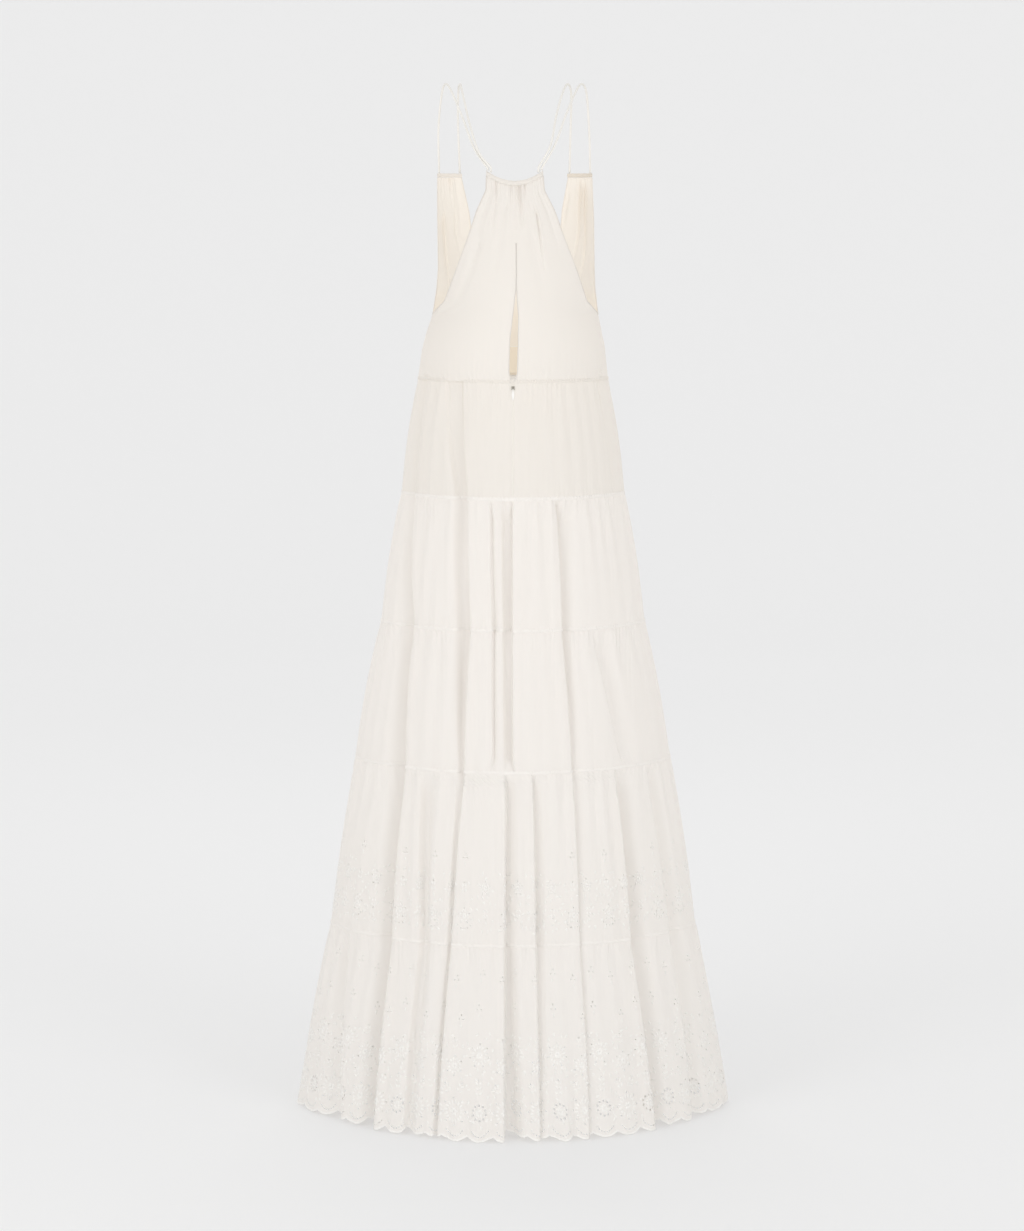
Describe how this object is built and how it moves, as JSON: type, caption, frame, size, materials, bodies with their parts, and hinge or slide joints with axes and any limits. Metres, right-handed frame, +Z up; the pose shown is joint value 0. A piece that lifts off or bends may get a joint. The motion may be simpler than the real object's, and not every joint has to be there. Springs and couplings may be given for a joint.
{
  "type": "maxi dress",
  "caption": "Sleeveless tiered maxi dress with thin paired straps, a gathered back panel with a slit, and an embroidered scalloped hem, filled out and hanging.",
  "frame": {"origin": "midway between the tops of the left and right shoulder straps, where the shoulders hold them", "axes": "+Z up along the dress, +X to the viewer's right when the back is seen, -Y out of the garment's back"},
  "size_m": [0.621, 0.4164, 1.4699],
  "materials": {
    "voile": "sheer plain weave",
    "embroidered_voile": "plain weave with eyelets and satin stitch",
    "trim": "bias binding and cord",
    "zip_metal": "satin"
  },
  "bodies": {
    "dress": {"back_bodice_left": "voile", "back_bodice_right": "voile", "back_neck_binding": "trim", "front_bodice_left": "voile", "front_bodice_right": "voile", "front_top_binding_left": "trim", "front_top_binding_right": "trim", "front_waistband": "voile", "strap_left_inner": "trim", "strap_left_outer": "trim", "strap_right_inner": "trim", "strap_right_outer": "trim", "tier_1_back_left": "voile", "tier_1_back_right": "voile", "tier_1_front": "voile", "tier_2_back": "voile", "tier_2_front": "voile", "tier_3_back": "voile", "tier_3_front": "voile", "tier_4_back": "embroidered_voile", "tier_4_front": "embroidered_voile", "tier_5_back": "embroidered_voile", "tier_5_front": "embroidered_voile", "zip_slider": "zip_metal"},
    "pull": {"zip_pull": "zip_metal"}
  },
  "joints": [
    {"name": "zip_pull_swing", "type": "hinge", "parent": "dress", "child": "pull", "pos_m": [0, -0.09721, -0.42506], "axis": [-1, 0, 0], "range_deg": [0, 150]}
  ]
}
